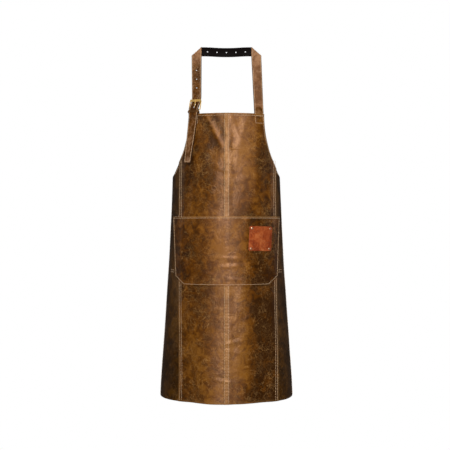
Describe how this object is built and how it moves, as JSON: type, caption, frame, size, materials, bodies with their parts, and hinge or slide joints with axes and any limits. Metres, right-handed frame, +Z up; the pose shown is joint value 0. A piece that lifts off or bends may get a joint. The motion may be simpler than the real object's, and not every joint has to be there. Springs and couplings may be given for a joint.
{
  "type": "leather work apron",
  "caption": "Long bib apron of lapped and stitched leather panels with a wide front pocket, riveted blank patch, buckled neck strap and buckled waist strap.",
  "frame": {"origin": "middle of the underside of the neck band, where it rests on a neck or a peg", "axes": "+Z up, -Y to the front of the apron, +X to the viewer's right when facing the front"},
  "size_m": [0.3924, 0.2592, 1.0236],
  "materials": {
    "front_leather": "waxed pull-up, mottled mid brown, semi-matte",
    "side_leather": "waxed pull-up, dark brown, semi-matte",
    "pocket_leather": "waxed pull-up, mottled mid brown, semi-matte",
    "patch_leather": "blank red-brown leather, semi-matte",
    "rivet_copper": "copper, worn satin",
    "strap_leather": "waxed pull-up, mottled brown, semi-matte",
    "strap_lining": "black lining leather, semi-matte",
    "keeper_leather": "waxed, dark brown",
    "buckle_brass": "antique brass, satin",
    "waist_leather": "waxed, dark brown"
  },
  "bodies": {
    "apron": {"front_panel_left": "front_leather", "front_panel_right": "front_leather", "side_panel_left": "side_leather", "side_panel_right": "side_leather", "pocket": "pocket_leather", "pocket_patch": "patch_leather", "patch_rivets": "rivet_copper", "patch_rivet_burrs": "rivet_copper", "neck_strap": "strap_leather", "neck_strap_lining": "strap_lining", "neck_buckle_anchor": "strap_leather", "neck_buckle_frame": "buckle_brass", "neck_keeper": "keeper_leather", "waist_strap_left": "waist_leather", "waist_strap_right": "waist_leather", "waist_buckle_frame": "buckle_brass"},
    "neck_prong": {"neck_buckle_prong": "buckle_brass"},
    "neck_tail": {"neck_tail": "strap_leather", "neck_tail_lining": "strap_lining"},
    "waist_prong": {"waist_buckle_prong": "buckle_brass"},
    "waist_keeper": {"waist_keeper": "keeper_leather"},
    "waist_tail": {"waist_tail": "waist_leather"}
  },
  "joints": [
    {"name": "neck_prong_swing", "type": "hinge", "parent": "apron", "child": "neck_prong", "pos_m": [-0.09132, -0.06755, -0.16408], "axis": [0.9135, -0.4067, 0], "range_deg": [0, 8]},
    {"name": "neck_tail_lift", "type": "hinge", "parent": "apron", "child": "neck_tail", "pos_m": [-0.0935, -0.0791, -0.175], "axis": [-0.8954, 0.4453, 0], "range_deg": [0, 70]},
    {"name": "waist_prong_swing", "type": "hinge", "parent": "apron", "child": "waist_prong", "pos_m": [-0.01, 0.13405, -0.625], "axis": [0, 0, 1], "range_deg": [0, 8]},
    {"name": "waist_keeper_slide", "type": "slide", "parent": "apron", "child": "waist_keeper", "axis": [1, 0, 0], "range_m": [-0.005, 0.006]},
    {"name": "waist_tail_lift", "type": "hinge", "parent": "apron", "child": "waist_tail", "pos_m": [-0.054, 0.14035, -0.625], "axis": [0, 0, -1], "range_deg": [0, 60]}
  ]
}
